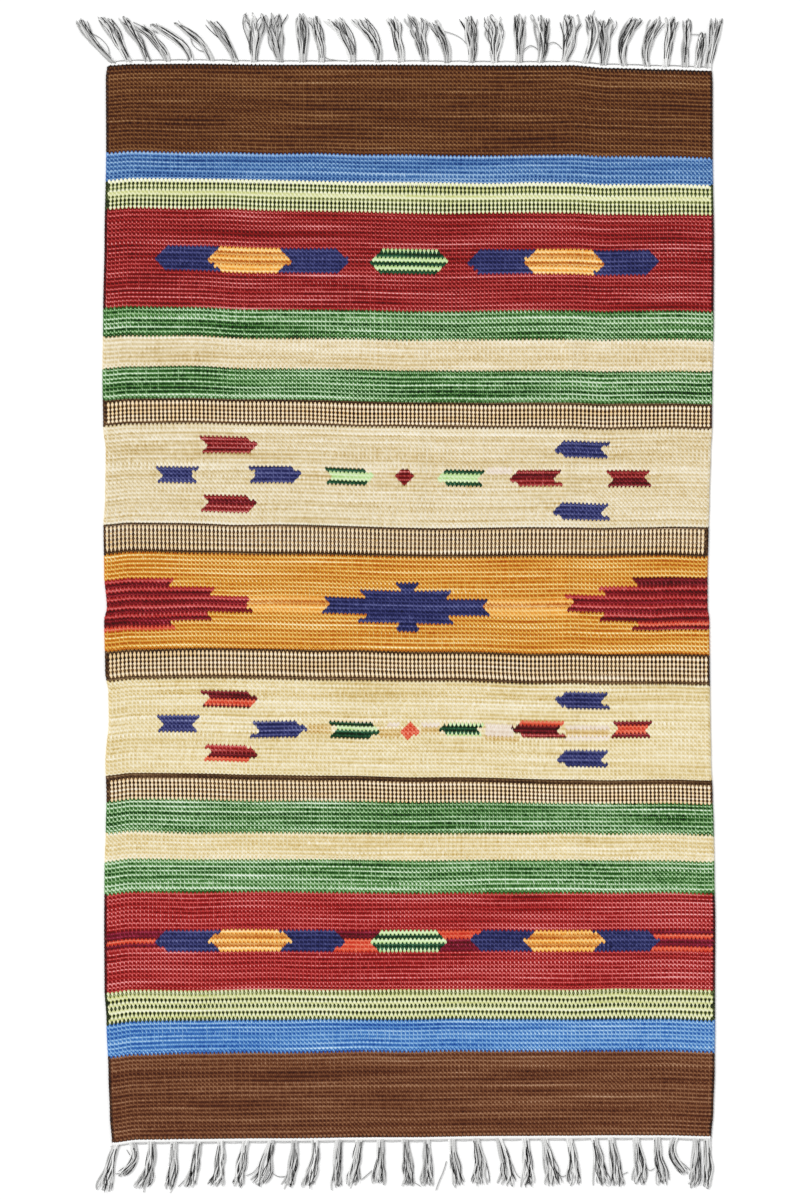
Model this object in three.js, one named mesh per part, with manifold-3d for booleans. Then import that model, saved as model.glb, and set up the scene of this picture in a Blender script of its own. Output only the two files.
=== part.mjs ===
// A flat-woven kilim rug lying flat on a floor, with a tasselled warp fringe at both short ends.
// Millimetres. +X across the rug, +Y along it towards the upper fringe, +Z up from the floor.
import * as THREE from 'three';
import Module from 'manifold-3d';

const wasm = await Module();
wasm.setup();

// Driving sizes of the cloth
const CLOTH_WIDTH = 900;
const CLOTH_LENGTH = 1600;
const CLOTH_THICKNESS = 4;
const RIM_ROUNDING = 1.2;
const COLUMN_PITCH = 75;
const COLUMN_CLEARANCE = 1.3;

// Driving sizes of the two fringes
const PARTING_GAP = 0.3;
const HEADING_WIDTH = 7;
const HEADING_THICKNESS = 3;
const NECK_LENGTH = 6;
const NECK_ROOT_WIDTH = 10;
const NECK_TIP_WIDTH = 9;
const NECK_TOP_SHARE = 0.92;
const NECK_HEIGHT = 3.4;
const ROOT_OVERLAP = 2.5;
const LOCKS_PER_TASSEL = 4;
const LOCK_STEPS = 4;
const LOCK_GAP = 0.8;
const LOCK_MAX_WIDTH = 4;
const LOCK_HEIGHT = 3;
const LOCK_RAGGEDNESS = [0, 3.5, -1, 2.5, -2, 1.5, -0.5];

// How far each long edge stands out from the straight selvedge, at places along the rug.
const SIDE_EDGES = [
  { along: 800, left: 0, right: 0 },
  { along: 782, left: 2, right: 1 },
  { along: 675, left: 1.5, right: 1 },
  { along: 540, left: 4, right: 3 },
  { along: 435, left: 6, right: 2.5 },
  { along: 330, left: 7, right: 0.5 },
  { along: 265, left: 6, right: 0 },
  { along: 228, left: 2, right: -2 },
  { along: 155, left: 3, right: -4 },
  { along: 115, left: 5.5, right: -5 },
  { along: 45, left: 4.5, right: -6.5 },
  { along: -5, left: 0.5, right: -6.5 },
  { along: -25, left: 4.5, right: -4 },
  { along: -100, left: 3, right: -3.5 },
  { along: -132, left: -2, right: -3 },
  { along: -170, left: -2.5, right: -2.5 },
  { along: -235, left: 2.5, right: -1.5 },
  { along: -290, left: 1, right: 1 },
  { along: -335, left: 2, right: 2.5 },
  { along: -400, left: 4, right: 3.5 },
  { along: -485, left: 4.5, right: 5 },
  { along: -570, left: 4, right: 4.5 },
  { along: -620, left: 1, right: 4.5 },
  { along: -700, left: -2, right: 4 },
  { along: -760, left: -4, right: 2 },
  { along: -800, left: -7, right: -1 },
];

// How far each short edge stands out from half the cloth's length, at places across the rug.
const END_EDGES = [
  { across: -450, top: 1, bottom: 4 },
  { across: -410, top: 3, bottom: -0.5 },
  { across: -330, top: 3.5, bottom: -1.5 },
  { across: -200, top: 2, bottom: -2.5 },
  { across: -40, top: 2, bottom: -4 },
  { across: 150, top: 1, bottom: -6 },
  { across: 240, top: 1, bottom: -6.5 },
  { across: 300, top: -3, bottom: -7 },
  { across: 380, top: -5, bottom: -7 },
  { across: 450, top: -7, bottom: -5.5 },
];

// Soft ridges left by the folds that the rug was stored in; they run along its whole length.
const FOLD_RIDGES = [
  { across: -312, height: 0.6, halfWidth: 24 },
  { across: 13, height: 0.9, halfWidth: 26 },
  { across: 239, height: 1.4, halfWidth: 22 },
];

// One row for each tassel, from left to right: where it leaves the heading, how far its tip leans to the
// right, how far its middle bows to the right of a straight line, how far it reaches out, and how wide
// its tip is spread.
const TOP_TASSELS = [
  { root: -440, lean: -50, bow: -5, reach: 60, spread: 14 },
  { root: -418, lean: -36, bow: 0, reach: 62, spread: 16 },
  { root: -390, lean: -35, bow: 4, reach: 61, spread: 11 },
  { root: -361, lean: -40, bow: 8, reach: 49, spread: 10 },
  { root: -327, lean: -49, bow: 12, reach: 50, spread: 12 },
  { root: -296, lean: -48, bow: 10, reach: 54, spread: 11 },
  { root: -260, lean: -36, bow: 5, reach: 57, spread: 12 },
  { root: -232, lean: -2, bow: 0, reach: 66, spread: 25 },
  { root: -193, lean: -9, bow: -2, reach: 67, spread: 19 },
  { root: -160, lean: -8, bow: 2, reach: 65, spread: 12 },
  { root: -132, lean: -9, bow: 0, reach: 64, spread: 14 },
  { root: -86, lean: -27, bow: 7, reach: 61, spread: 21 },
  { root: -47, lean: -28, bow: 8, reach: 62, spread: 18 },
  { root: -13, lean: -13, bow: 2, reach: 61, spread: 17 },
  { root: 23, lean: -19, bow: 1, reach: 65, spread: 17 },
  { root: 56, lean: -22, bow: 6, reach: 56, spread: 15 },
  { root: 92, lean: -4, bow: 3, reach: 64, spread: 18 },
  { root: 126, lean: -4, bow: 2, reach: 64, spread: 23 },
  { root: 163, lean: 1, bow: 0, reach: 68, spread: 16 },
  { root: 194, lean: -3, bow: 5, reach: 64, spread: 19 },
  { root: 229, lean: 10, bow: 2, reach: 65, spread: 21 },
  { root: 260, lean: 8, bow: 7, reach: 68, spread: 14 },
  { root: 288, lean: 6, bow: 0, reach: 66, spread: 18 },
  { root: 320, lean: 17, bow: -11, reach: 65, spread: 13 },
  { root: 354, lean: 15, bow: -8, reach: 66, spread: 13 },
  { root: 381, lean: 9, bow: 0, reach: 69, spread: 12 },
  { root: 410, lean: 3, bow: -1, reach: 67, spread: 10 },
  { root: 428, lean: 8, bow: 1, reach: 48, spread: 10 },
  { root: 444, lean: 12, bow: 0, reach: 69, spread: 14 },
];

const BOTTOM_TASSELS = [
  { root: -437, lean: -19, bow: -1, reach: 66, spread: 19 },
  { root: -415, lean: -13, bow: 10, reach: 46, spread: 12 },
  { root: -385, lean: -14, bow: 4, reach: 67, spread: 20 },
  { root: -352, lean: -6, bow: 2, reach: 68, spread: 14 },
  { root: -315, lean: -12, bow: 1, reach: 67, spread: 13 },
  { root: -282, lean: -8, bow: 3, reach: 65, spread: 21 },
  { root: -244, lean: -12, bow: 0, reach: 65, spread: 16 },
  { root: -206, lean: -17, bow: 1, reach: 63, spread: 22 },
  { root: -172, lean: -9, bow: 3, reach: 65, spread: 13 },
  { root: -141, lean: -12, bow: 4, reach: 66, spread: 17 },
  { root: -105, lean: -4, bow: -2, reach: 66, spread: 13 },
  { root: -75, lean: -11, bow: 0, reach: 66, spread: 13 },
  { root: -44, lean: -3, bow: 2, reach: 62, spread: 15 },
  { root: -7, lean: 4, bow: 1, reach: 66, spread: 17 },
  { root: 25, lean: 1, bow: 0, reach: 66, spread: 13 },
  { root: 63, lean: 10, bow: -2, reach: 66, spread: 15 },
  { root: 98, lean: 7, bow: 3, reach: 66, spread: 19 },
  { root: 132, lean: 12, bow: 4, reach: 66, spread: 18 },
  { root: 172, lean: 3, bow: 1, reach: 68, spread: 17 },
  { root: 200, lean: 14, bow: 1, reach: 68, spread: 18 },
  { root: 238, lean: 6, bow: 2, reach: 68, spread: 16 },
  { root: 275, lean: 12, bow: 1, reach: 67, spread: 16 },
  { root: 300, lean: 9, bow: 1, reach: 69, spread: 13 },
  { root: 337, lean: 6, bow: 1, reach: 65, spread: 19 },
  { root: 369, lean: 10, bow: -3, reach: 67, spread: 14 },
  { root: 396, lean: 12, bow: -10, reach: 50, spread: 10 },
  { root: 427, lean: -4, bow: 2, reach: 68, spread: 13 },
  { root: 443, lean: 1, bow: 1, reach: 67, spread: 12 },
];

// Value of one column of a table at a place between its rows, eased so that the outline has no corners
function tableValue(rows, placeColumn, valueColumn, place) {
  const falling = rows[0][placeColumn] > rows[rows.length - 1][placeColumn];
  const ordered = falling ? [...rows].reverse() : rows;
  const first = ordered[0];
  const last = ordered[ordered.length - 1];
  if (place <= first[placeColumn]) return first[valueColumn];
  if (place >= last[placeColumn]) return last[valueColumn];
  const upperIndex = ordered.findIndex((row) => row[placeColumn] >= place);
  const lower = ordered[upperIndex - 1];
  const upper = ordered[upperIndex];
  const share = THREE.MathUtils.smoothstep(place, lower[placeColumn], upper[placeColumn]);
  return THREE.MathUtils.lerp(lower[valueColumn], upper[valueColumn], share);
}

// Where a long edge lies at a place along the rug, and a short edge at a place across it
function sideX(along, side) {
  const out = CLOTH_WIDTH / 2 + tableValue(SIDE_EDGES, 'along', side, along);
  return side === 'left' ? -out : out;
}

function endY(across, end) {
  const out = CLOTH_LENGTH / 2 + tableValue(END_EDGES, 'across', end, across);
  return end === 'bottom' ? -out : out;
}

// How far the fold ridges lift the cloth off the floor at a place across it
function ridgeLift(across) {
  const bell = ({ across: middle, height, halfWidth }) =>
    height * (1 - THREE.MathUtils.smoothstep(Math.abs(across - middle), 0, halfWidth));
  return FOLD_RIDGES.reduce((lift, ridge) => lift + bell(ridge), 0);
}

// Places across the cloth where the mesh has a line of points: even steps, and closer beside each ridge
function clothColumns() {
  const half = CLOTH_WIDTH / 2;
  const even = [];
  for (let x = -half; x <= half; x += COLUMN_PITCH) even.push(x);
  const awayFromRidges = even.filter((x) =>
    FOLD_RIDGES.every(({ across, halfWidth }) => Math.abs(x - across) > COLUMN_CLEARANCE * halfWidth));
  const besideRidges = FOLD_RIDGES.flatMap(({ across, halfWidth }) =>
    [-1, -0.5, 0, 0.5, 1].map((step) => across + step * halfWidth));
  return [...awayFromRidges, ...besideRidges].sort((a, b) => a - b);
}

const COLUMNS = clothColumns();
const ROWS = SIDE_EDGES.map(({ along }) => along).reverse();

// The cloth's outline point for one column and row, drawn in from the edge where inset is above zero
function clothPoint(column, row, inset) {
  const nominalX = COLUMNS[column];
  const nominalY = ROWS[row];
  const left = sideX(nominalY, 'left') + inset;
  const right = sideX(nominalY, 'right') - inset;
  const bottom = endY(nominalX, 'bottom') + inset;
  const top = endY(nominalX, 'top') - inset;
  return {
    x: THREE.MathUtils.mapLinear(nominalX, -CLOTH_WIDTH / 2, CLOTH_WIDTH / 2, left, right),
    y: THREE.MathUtils.mapLinear(nominalY, -CLOTH_LENGTH / 2, CLOTH_LENGTH / 2, bottom, top),
    lift: ridgeLift(nominalX),
  };
}

// A mesh geometry from a flat list of coordinates and a list of triangles
function indexedGeometry(positions, indices) {
  const geometry = new THREE.BufferGeometry();
  geometry.setAttribute('position', new THREE.Float32BufferAttribute(positions, 3));
  geometry.setIndex(indices);
  geometry.computeVertexNormals();
  return geometry;
}

// Rim points in order round the grid, anticlockwise seen from above
function rimLoop(columnCount, rowCount) {
  const loop = [];
  for (let i = 0; i < columnCount - 1; i += 1) loop.push([i, 0]);
  for (let j = 0; j < rowCount - 1; j += 1) loop.push([columnCount - 1, j]);
  for (let i = columnCount - 1; i > 0; i -= 1) loop.push([i, rowCount - 1]);
  for (let j = rowCount - 1; j > 0; j -= 1) loop.push([0, j]);
  return loop;
}

// The woven body: a flat underside, a top that follows it, and a rounded rim between them
function clothGeometry() {
  const columnCount = COLUMNS.length;
  const rowCount = ROWS.length;
  const perLayer = columnCount * rowCount;
  const positions = [];
  const indices = [];
  [0, CLOTH_THICKNESS].forEach((height) => {
    for (let j = 0; j < rowCount; j += 1) {
      for (let i = 0; i < columnCount; i += 1) {
        const { x, y, lift } = clothPoint(i, j, RIM_ROUNDING);
        positions.push(x, y, height + lift);
      }
    }
  });
  const under = (i, j) => j * columnCount + i;
  const over = (i, j) => perLayer + under(i, j);
  for (let j = 0; j < rowCount - 1; j += 1) {
    for (let i = 0; i < columnCount - 1; i += 1) {
      indices.push(over(i, j), over(i + 1, j), over(i + 1, j + 1));
      indices.push(over(i, j), over(i + 1, j + 1), over(i, j + 1));
      indices.push(under(i, j), under(i + 1, j + 1), under(i + 1, j));
      indices.push(under(i, j), under(i, j + 1), under(i + 1, j + 1));
    }
  }
  const loop = rimLoop(columnCount, rowCount);
  const firstMiddle = positions.length / 3;
  loop.forEach(([i, j]) => {
    const { x, y, lift } = clothPoint(i, j, 0);
    positions.push(x, y, CLOTH_THICKNESS / 2 + lift);
  });
  loop.forEach(([i, j], k) => {
    const next = (k + 1) % loop.length;
    const [nextI, nextJ] = loop[next];
    const middle = firstMiddle + k;
    const nextMiddle = firstMiddle + next;
    indices.push(under(i, j), under(nextI, nextJ), nextMiddle);
    indices.push(under(i, j), nextMiddle, middle);
    indices.push(middle, nextMiddle, over(nextI, nextJ));
    indices.push(middle, over(nextI, nextJ), over(i, j));
  });
  return indexedGeometry(positions, indices);
}

// A closed surface through a row of like cross-sections, each a ring of points in the same order
function loftGeometry(sections) {
  const sides = sections[0].length;
  const positions = sections.flat(2);
  const indices = [];
  for (let s = 0; s < sections.length - 1; s += 1) {
    for (let k = 0; k < sides; k += 1) {
      const a = s * sides + k;
      const b = s * sides + ((k + 1) % sides);
      indices.push(a, b, b + sides, a, b + sides, a + sides);
    }
  }
  const last = (sections.length - 1) * sides;
  for (let k = 1; k < sides - 1; k += 1) {
    indices.push(0, k + 1, k);
    indices.push(last, last + k, last + k + 1);
  }
  return indexedGeometry(positions, indices);
}

// A solid with its faces pointing out; sections laid towards -Y wind the other way round and are turned
function solidOf(geometry) {
  const vertProperties = new Float32Array(geometry.getAttribute('position').array);
  const triVerts = new Uint32Array(geometry.getIndex().array);
  const solid = new wasm.Manifold(new wasm.Mesh({ numProp: 3, vertProperties, triVerts }));
  if (solid.volume() > 0) return solid;
  for (let t = 0; t < triVerts.length; t += 3) {
    [triVerts[t], triVerts[t + 1]] = [triVerts[t + 1], triVerts[t]];
  }
  return new wasm.Manifold(new wasm.Mesh({ numProp: 3, vertProperties, triVerts }));
}

// The surface of a joined solid, as a mesh geometry
function geometryOf(solid) {
  const { vertProperties, triVerts } = solid.getMesh();
  return indexedGeometry(Array.from(vertProperties), Array.from(triVerts));
}

const outward = (end) => (end === 'top' ? 1 : -1);

// Inner edge of a heading: the cloth's end, straight between the same columns, plus the parting gap
function headingInnerY(across, end) {
  const row = end === 'top' ? ROWS.length - 1 : 0;
  const points = COLUMNS.map((_, column) => clothPoint(column, row, 0));
  const upper = Math.max(1, points.findIndex(({ x }) => x >= across));
  const a = points[upper - 1];
  const b = points[upper];
  const y = THREE.MathUtils.mapLinear(across, a.x, b.x, a.y, b.y);
  return y + outward(end) * PARTING_GAP;
}

// The white heading strip, a rectangle in section that follows the cloth's end
function headingGeometry(end) {
  const row = end === 'top' ? ROWS.length - 1 : 0;
  const sections = COLUMNS.map((_, column) => {
    const { x, y } = clothPoint(column, row, 0);
    const inner = y + outward(end) * PARTING_GAP;
    const outer = inner + outward(end) * HEADING_WIDTH;
    return [
      [x, inner, 0],
      [x, outer, 0],
      [x, outer, HEADING_THICKNESS],
      [x, inner, HEADING_THICKNESS],
    ];
  });
  return loftGeometry(sections);
}

// The drawn-together neck where a tassel leaves the heading
function neckGeometry({ root }, end) {
  const start = headingInnerY(root, end) + outward(end) * (HEADING_WIDTH - ROOT_OVERLAP);
  const section = (y, width, height) => [
    [root - width / 2, y, 0],
    [root + width / 2, y, 0],
    [root + (width / 2) * NECK_TOP_SHARE, y, height],
    [root - (width / 2) * NECK_TOP_SHARE, y, height],
  ];
  const finish = start + outward(end) * (ROOT_OVERLAP + NECK_LENGTH);
  return loftGeometry([
    section(start, NECK_ROOT_WIDTH, NECK_HEIGHT),
    section(finish, NECK_TIP_WIDTH, NECK_HEIGHT),
  ]);
}

// One lock of a tassel: a three-sided strand, level on the floor, from the neck to its ragged tip. All
// the locks of a tassel run side by side along one bowed line, and fan out towards its spread.
function lockGeometry({ root, lean, bow, reach, spread }, end, lockIndex, tasselIndex) {
  const middle = (LOCKS_PER_TASSEL - 1) / 2;
  const rag = LOCK_RAGGEDNESS[(lockIndex + tasselIndex) % LOCK_RAGGEDNESS.length];
  const length = reach - NECK_LENGTH + ROOT_OVERLAP;
  const base = headingInnerY(root, end) + outward(end) * (HEADING_WIDTH + NECK_LENGTH - ROOT_OVERLAP);
  const sections = [];
  for (let step = 0; step <= LOCK_STEPS; step += 1) {
    const t = (step / LOCK_STEPS) * (1 + rag / length);
    const pitch = THREE.MathUtils.lerp(NECK_TIP_WIDTH, spread, t) / LOCKS_PER_TASSEL;
    const width = Math.min(LOCK_MAX_WIDTH, pitch - LOCK_GAP);
    const slope = new THREE.Vector2(lean + 4 * bow * (1 - 2 * t), length).normalize();
    const alongX = lean * t + 4 * bow * t * (1 - t);
    const place = (across) => [
      root + alongX + across * slope.y,
      base + outward(end) * (length * t - across * slope.x),
    ];
    const offset = (lockIndex - middle) * pitch;
    sections.push([
      [...place(offset - width / 2), 0],
      [...place(offset + width / 2), 0],
      [...place(offset), LOCK_HEIGHT],
    ]);
  }
  return loftGeometry(sections);
}

// The heading with the necks and locks of all its tassels fused to it
function fringeGeometry(tassels, end) {
  const pieces = [headingGeometry(end)];
  tassels.forEach((tassel, tasselIndex) => {
    pieces.push(neckGeometry(tassel, end));
    for (let lockIndex = 0; lockIndex < LOCKS_PER_TASSEL; lockIndex += 1) {
      pieces.push(lockGeometry(tassel, end, lockIndex, tasselIndex));
    }
  });
  return geometryOf(pieces.map(solidOf).reduce((whole, piece) => whole.add(piece)));
}

const woven = new THREE.MeshStandardMaterial({ color: 0x9c6b3f, roughness: 0.95, metalness: 0 });
const cotton = new THREE.MeshStandardMaterial({ color: 0xe6e4de, roughness: 0.95, metalness: 0 });

function namedMesh(name, geometry, material) {
  const mesh = new THREE.Mesh(geometry, material);
  mesh.name = name;
  return mesh;
}

const rug = new THREE.Group();
rug.add(
  namedMesh('rug_cloth', clothGeometry(), woven),
  namedMesh('fringe_top', fringeGeometry(TOP_TASSELS, 'top'), cotton),
  namedMesh('fringe_bottom', fringeGeometry(BOTTOM_TASSELS, 'bottom'), cotton),
);

// The origin is the middle of the footprint, on the floor
const footprint = new THREE.Box3().setFromObject(rug).getCenter(new THREE.Vector3());
rug.position.set(-footprint.x, -footprint.y, 0);

export default rug;
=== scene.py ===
import math

import bpy
import numpy as np
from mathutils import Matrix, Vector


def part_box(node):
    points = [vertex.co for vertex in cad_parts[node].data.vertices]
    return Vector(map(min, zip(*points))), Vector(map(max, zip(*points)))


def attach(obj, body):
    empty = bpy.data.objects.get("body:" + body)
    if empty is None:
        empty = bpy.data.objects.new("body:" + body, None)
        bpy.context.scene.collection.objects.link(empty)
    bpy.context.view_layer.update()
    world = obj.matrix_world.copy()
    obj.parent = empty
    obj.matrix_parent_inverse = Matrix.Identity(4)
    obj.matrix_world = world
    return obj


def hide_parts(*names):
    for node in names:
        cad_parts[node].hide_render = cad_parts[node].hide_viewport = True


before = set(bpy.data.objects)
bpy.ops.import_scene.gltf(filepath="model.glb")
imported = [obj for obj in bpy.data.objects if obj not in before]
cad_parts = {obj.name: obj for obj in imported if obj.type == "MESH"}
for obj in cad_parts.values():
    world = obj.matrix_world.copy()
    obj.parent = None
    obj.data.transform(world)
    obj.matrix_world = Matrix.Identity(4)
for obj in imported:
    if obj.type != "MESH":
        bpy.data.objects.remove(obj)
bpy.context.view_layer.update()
context = bpy.context
MM = 0.001


# Floor, light and camera.
# The rug lies on a smooth near-white floor in soft daylight that comes mostly from its upper left.
# The camera hangs straight above it and takes in both fringes.
FLOOR_HALF = 6.0
FLOOR_DROP = 0.0006
FLOOR_SHADE = (0.96, 0.96, 0.96, 1)
CAMERA_SPOT = (0.0022, 0.0046, 4.971)
CAMERA_LENS = 100
SKY_STRENGTH = 0.72
WINDOW_STRENGTH = 1.7
WINDOW_ANGLE = math.radians(24)
WINDOW_LEAN = (math.radians(-28), math.radians(-34), 0)

floor_mesh = bpy.data.meshes.new("floor")
corners = [(-1, -1), (1, -1), (1, 1), (-1, 1)]
floor_points = [(x * FLOOR_HALF, y * FLOOR_HALF, -FLOOR_DROP) for x, y in corners]
floor_mesh.from_pydata(floor_points, [], [(0, 1, 2, 3)])
floor = bpy.data.objects.new("floor", floor_mesh)
context.collection.objects.link(floor)

floor_paint = bpy.data.materials.new("floor_paint")
floor_paint.use_nodes = True
floor_coat = floor_paint.node_tree.nodes["Principled BSDF"]
floor_coat.inputs["Base Color"].default_value = FLOOR_SHADE
floor_coat.inputs["Roughness"].default_value = 0.9
floor_coat.inputs["Specular IOR Level"].default_value = 0.1
floor_mesh.materials.append(floor_paint)

world = bpy.data.worlds.new("daylight")
world.use_nodes = True
sky = world.node_tree.nodes["Background"]
sky.inputs["Color"].default_value = (1, 1, 1, 1)
sky.inputs["Strength"].default_value = SKY_STRENGTH
context.scene.world = world

window_lamp = bpy.data.lights.new("window", "SUN")
window_lamp.energy = WINDOW_STRENGTH
window_lamp.angle = WINDOW_ANGLE
window = bpy.data.objects.new("window", window_lamp)
window.rotation_euler = WINDOW_LEAN
context.collection.objects.link(window)

camera_body = bpy.data.cameras.new("camera")
camera_body.lens = CAMERA_LENS
camera = bpy.data.objects.new("camera", camera_body)
camera.location = CAMERA_SPOT
context.collection.objects.link(camera)
context.scene.camera = camera
context.scene.view_settings.view_transform = "Standard"


# Upper end of the rug: the brown ground, then a blue band and a lime band.
# Plain weave of handspun cotton, the weft beaten down until it hides the warp; each weft float is a small
# pillow over one warp, and the dye is uneven, so every pick has its own shade.
UPPER_END_PICKS = (0, 71)
HALF_WIDTH = 450
HALF_LENGTH = 800
CLOTH_LEFT = 457
CLOTH_BELOW = 804
WARPS = 300
WARP_PITCH = 3.0
PICK_PITCH = 3.1
CROWN_HEIGHT = 4.6
JUNCTION_HEIGHT = 3.4
GROOVE_HEIGHT = 3.8
ROW_RISE = 0.24
FLOAT_SWELL = 0.8
SELVEDGE_SWELL_SHARE = 0.3
SELVEDGE_DROP = (0.9, 0.45, 0.1)
SELVEDGE_BULGE = 0.8
BULGE_HEIGHT = 2.1
BULGE_STEP = 0.4
UNDERSIDE_INSET = 0.5
UNDERSIDE_STEP = 4
MID_RELIEF_LIGHT = 0.5

# How unevenly it is woven, in mm: warps, picks, pairs of picks, single floats and the whole surface
WARP_WANDER = 0.12
PICK_WANDER = 0.55
CALM_LINES = 12
PAIRING = 0.34
PAIRING_CHANGE = 0.17
CROWN_UNEVENNESS = 0.1
COCKLE = 0.1
# How many lines and half warps lie between the random values that these follow
WARP_WANDER_SPACING = (1, 3)
PICK_WANDER_SPACING = (14, 42)
PAIRING_SPACING = (10, 50)
COCKLE_SPACING = (22, 60)
RELIEF_LIGHT_SPACING = (1, 70)
# Each line between picks lies this much early, and unevenly so, in picks
BEAT = -0.5
BEAT_UNEVENNESS = 0.05

# How far each cause lightens or deepens the dye: the pair, the pick, slow changes and single floats
PAIR_SHADE = 0.6
PICK_SHADE = 0.3
SLOW_SHADE = 0.6
SLOW_SHADE_KNOTS = (12, 30)
FLOAT_SHADE = 0.5
SELVEDGE_SHADE = (0.8, 1.25)
# How unevenly the painted shade in the floats' hollows and the painted highlight on their crowns lie
RELIEF_LIGHT_UNEVENNESS = 0.1
dye = np.random.default_rng(11)

# Places along the rug, and how far the left and right selvedges stand out from the straight there
SIDE_EDGES = np.array([
    (-800, -7, -1), (-760, -4, 2), (-700, -2, 4), (-620, 1, 4.5), (-570, 4, 4.5), (-485, 4.5, 5),
    (-400, 4, 3.5), (-335, 2, 2.5), (-290, 1, 1), (-235, 2.5, -1.5), (-170, -2.5, -2.5),
    (-132, -2, -3), (-100, 3, -3.5), (-25, 4.5, -4), (-5, 0.5, -6.5), (45, 4.5, -6.5),
    (115, 5.5, -5), (155, 3, -4), (228, 2, -2), (265, 6, 0), (330, 7, 0.5), (435, 6, 2.5),
    (540, 4, 3), (675, 1.5, 1), (782, 2, 1), (800, 0, 0),
])
# Places across the rug, and how far the top and bottom ends stand out there
END_EDGES = np.array([
    (-450, 1, 4), (-410, 3, -0.5), (-330, 3.5, -1.5), (-200, 2, -2.5), (-40, 2, -4),
    (150, 1, -6), (240, 1, -6.5), (300, -3, -7), (380, -5, -7), (450, -7, -5.5),
])
# Soft ridges where the rug was folded: across, height, half width
FOLD_RIDGES = [(-312, 0.6, 24), (13, 0.9, 26), (239, 1.4, 22)]
# How far the picks stray towards the upper end: the first column is a place along the rug
DRIFT_ACROSS = np.array([-431, -312, -223, 45, 241, 433])
DRIFT = np.array([
    (-800, 0, 0, 0, 0, 0, 0),
    (-665, -2, 0, 0.5, 0, -1.5, -1.5),
    (-577, 2.5, 1, 2, 0, -2, 0),
    (-433, 5, 4, 4, 0, 0, 1),
    (-343, 6, 3, 3, 0, -1, 0),
    (-262, 8.5, 6.5, 4.5, 0, -5, -3),
    (-75, 5, 6, 5, 0, -4, -1),
    (65, 8, 6.5, 5, 0, 1, 5),
    (260, 5.5, 6, 5, 0, -1.5, 3),
    (435, 7.5, 6, 3, 0, 2, 7),
    (505, 6.3, 4.2, 2.2, 0, 1.2, 5.5),
    (590, 7, 5, 4, 0, 0.5, 4),
    (670, 6.5, 3, 3.5, 0, 1.5, 4.5),
    (800, 0, 0, 0, 0, 0, 0),
])
# The bands of colour from the upper end down: how many picks each has, and how much cloth they fill
BANDS = np.array([
    (44, 135.1), (13, 41.1), (14, 44.8), (48, 147.8), (13, 41.8), (15, 46.3), (15, 46.3), (13, 38.8),
    (48, 150.1), (14, 43.3), (45, 140.4), (14, 44.0), (47, 144.8), (12, 35.8), (15, 47.0), (13, 41.1),
    (15, 47.8), (47, 144.8), (14, 44.8), (15, 45.5), (42, 128.6),
])
BAND_STARTS = np.append(0, np.cumsum(BANDS[:, 0])).astype(int)
PICKS = int(BAND_STARTS[-1])
# First picks of the brown pairs that open and close the pick-and-pick bands, and how far these pairs are
# beaten down, in picks
OPENING_PAIRS = (162, 223, 282, 343)
OPENING_BEAT = (0.55, 0.9, 0.4)
CLOSING_PAIRS = (235, 294)
CLOSING_BEAT = (0.4, 0.9, 0.55)

cloth_low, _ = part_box("rug_cloth")
MIDDLE_X = cloth_low[0] + CLOTH_LEFT * MM
MIDDLE_Y = cloth_low[1] + CLOTH_BELOW * MM


def smooth(share):
    """A share from 0 to 1 that starts and ends gently."""
    return share * share * (3 - 2 * share)


def eased(places, values, place):
    """The value at a place between a table's rows, eased so that the outline has no corners."""
    row = np.clip(np.searchsorted(places, place) - 1, 0, len(places) - 2)
    share = np.clip((place - places[row]) / (places[row + 1] - places[row]), 0, 1)
    return values[row] + (values[row + 1] - values[row]) * smooth(share)


def side_x(along, side):
    """Where the left (-1) or right (1) selvedge lies at a place along the rug."""
    return side * (HALF_WIDTH + eased(SIDE_EDGES[:, 0], SIDE_EDGES[:, 1 if side < 0 else 2], along))


def end_out(across, end):
    """How far the bottom (-1) or top (1) end stands out from the straight at a place across the rug."""
    return eased(END_EDGES[:, 0], END_EDGES[:, 2 if end < 0 else 1], across)


def ridge_lift(across):
    """How far the folds hold the cloth off the floor."""
    lift = np.zeros_like(across)
    for middle, height, half_width in FOLD_RIDGES:
        share = np.clip(np.abs(across - middle) / half_width, 0, 1)
        lift += height * (1 - smooth(share))
    return lift


def line_places():
    """How far below the upper end each line between picks lies, in mm."""
    lines = np.arange(PICKS + 1.0)
    for first in OPENING_PAIRS:
        lines[first + 1:first + 4] -= OPENING_BEAT
    for first in CLOSING_PAIRS:
        lines[first - 1:first + 2] += CLOSING_BEAT
    lines[1:-1] += dye.normal(BEAT, BEAT_UNEVENNESS, PICKS - 1)
    return np.interp(lines, BAND_STARTS, np.append(0, np.cumsum(BANDS[:, 1])))


def pick_pairing():
    """Which way each line's warps push their picks together; every band begins with a whole pair."""
    band = np.searchsorted(BAND_STARTS[1:-1], np.arange(PICKS + 1), side="right")
    way = np.where(BAND_STARTS[band] % 2 == 0, 1.0, -1.0)
    return np.convolve(np.pad(way, 1, "edge"), (0.25, 0.5, 0.25), "valid")[:, None]


def slow_waves(shape, spacing, depth):
    """Smooth unevenness over a grid, with one random value for every few points."""
    knots = dye.normal(0, depth, [size // step + 2 for size, step in zip(shape, spacing)])
    down = np.arange(shape[0]) / spacing[0]
    right = np.arange(shape[1]) / spacing[1]
    rows = np.array([np.interp(right, np.arange(knots.shape[1]), knot) for knot in knots])
    return np.array([np.interp(down, np.arange(len(rows)), column) for column in rows.T]).T


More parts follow.
